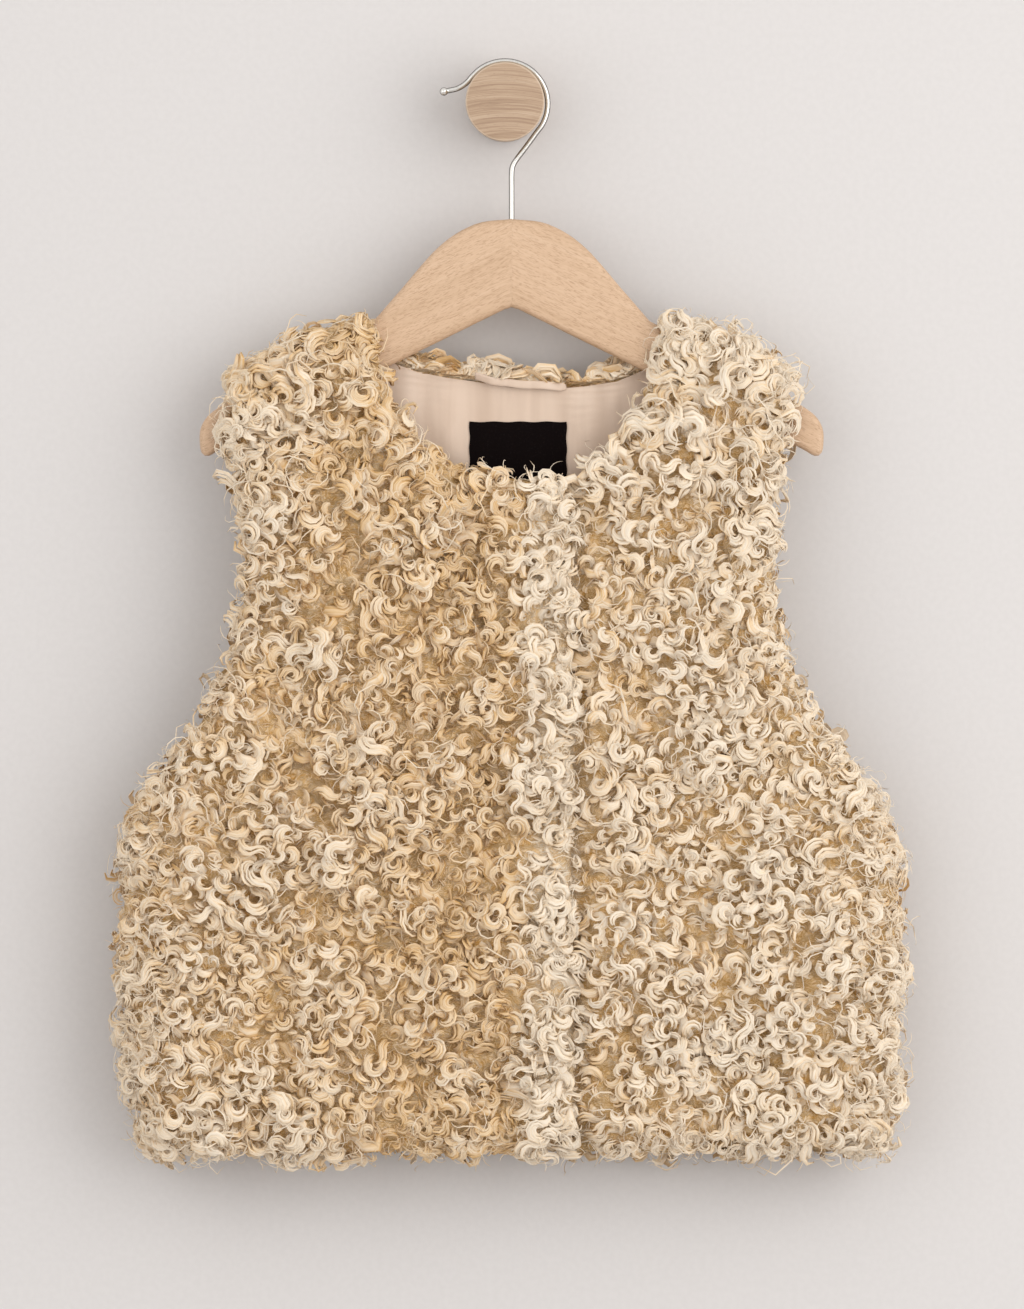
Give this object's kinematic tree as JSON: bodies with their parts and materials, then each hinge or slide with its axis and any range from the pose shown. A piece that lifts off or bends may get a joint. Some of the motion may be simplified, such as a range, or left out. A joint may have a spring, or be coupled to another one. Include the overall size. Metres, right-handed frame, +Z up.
{
  "type": "faux fur gilet on hanger",
  "caption": "Child's curly faux fur gilet with a round neck and a lapped front, on a flat wooden hanger whose wire hook hangs over a round wooden wall peg.",
  "frame": {"origin": "centre of the peg's flat back face, on the wall", "axes": "+Z up, +Y out of the peg's back into the wall, +X to the viewer's right, which is the wearer's left"},
  "size_m": [0.4342, 0.0724, 0.6039],
  "materials": {
    "fur_front_right": "curly faux fur, cream to tan",
    "fur_front_left": "curly faux fur, cream to tan",
    "fur_back": "curly faux fur, cream to tan",
    "satin_lining": "pinkish beige satin",
    "loop_cloth": "pinkish beige satin, folded",
    "label_black": "bare black woven label",
    "hanger_beech": "pale beech, satin lacquer",
    "hook_steel": "polished nickel",
    "peg_ash": "pale wood, oiled"
  },
  "bodies": {
    "root": {"front_right": "fur_front_right", "front_left": "fur_front_left", "back": "fur_back", "back_lining": "satin_lining", "hanging_loop": "loop_cloth", "neck_label": "label_black", "hanger": "hanger_beech", "hanger_hook": "hook_steel", "wall_peg": "peg_ash"}
  },
  "joints": []
}
